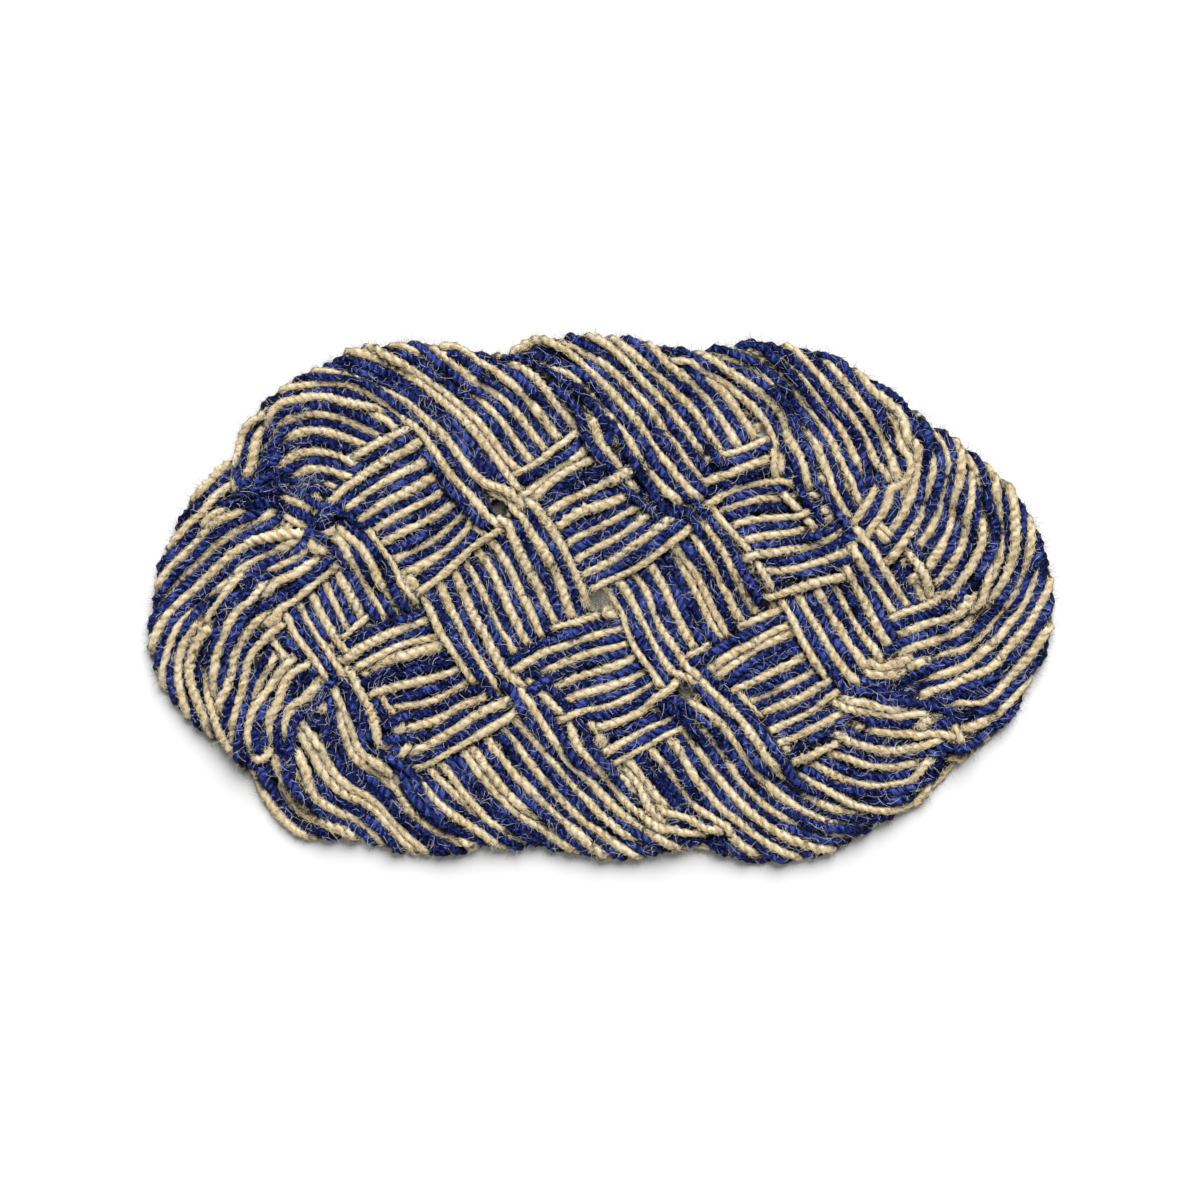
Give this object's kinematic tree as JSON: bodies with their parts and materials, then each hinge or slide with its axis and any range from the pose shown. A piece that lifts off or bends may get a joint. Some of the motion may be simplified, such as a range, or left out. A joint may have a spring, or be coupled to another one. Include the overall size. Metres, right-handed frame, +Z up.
{
  "type": "doormat",
  "caption": "Flat oval doormat plaited from one wide lead of twisted coir yarns in natural straw and navy, with a scalloped rim",
  "frame": {"origin": "bottom centre of the mat, on the floor", "axes": "+X along the long way of the mat, +Y along its short way, +Z up from the floor"},
  "size_m": [0.6978, 0.416, 0.014],
  "materials": {
    "two_tone_coir": "rough hairy twisted coir yarn, natural straw and navy in about equal parts"
  },
  "bodies": {
    "root": {"plaited_mat": "two_tone_coir"}
  },
  "joints": []
}
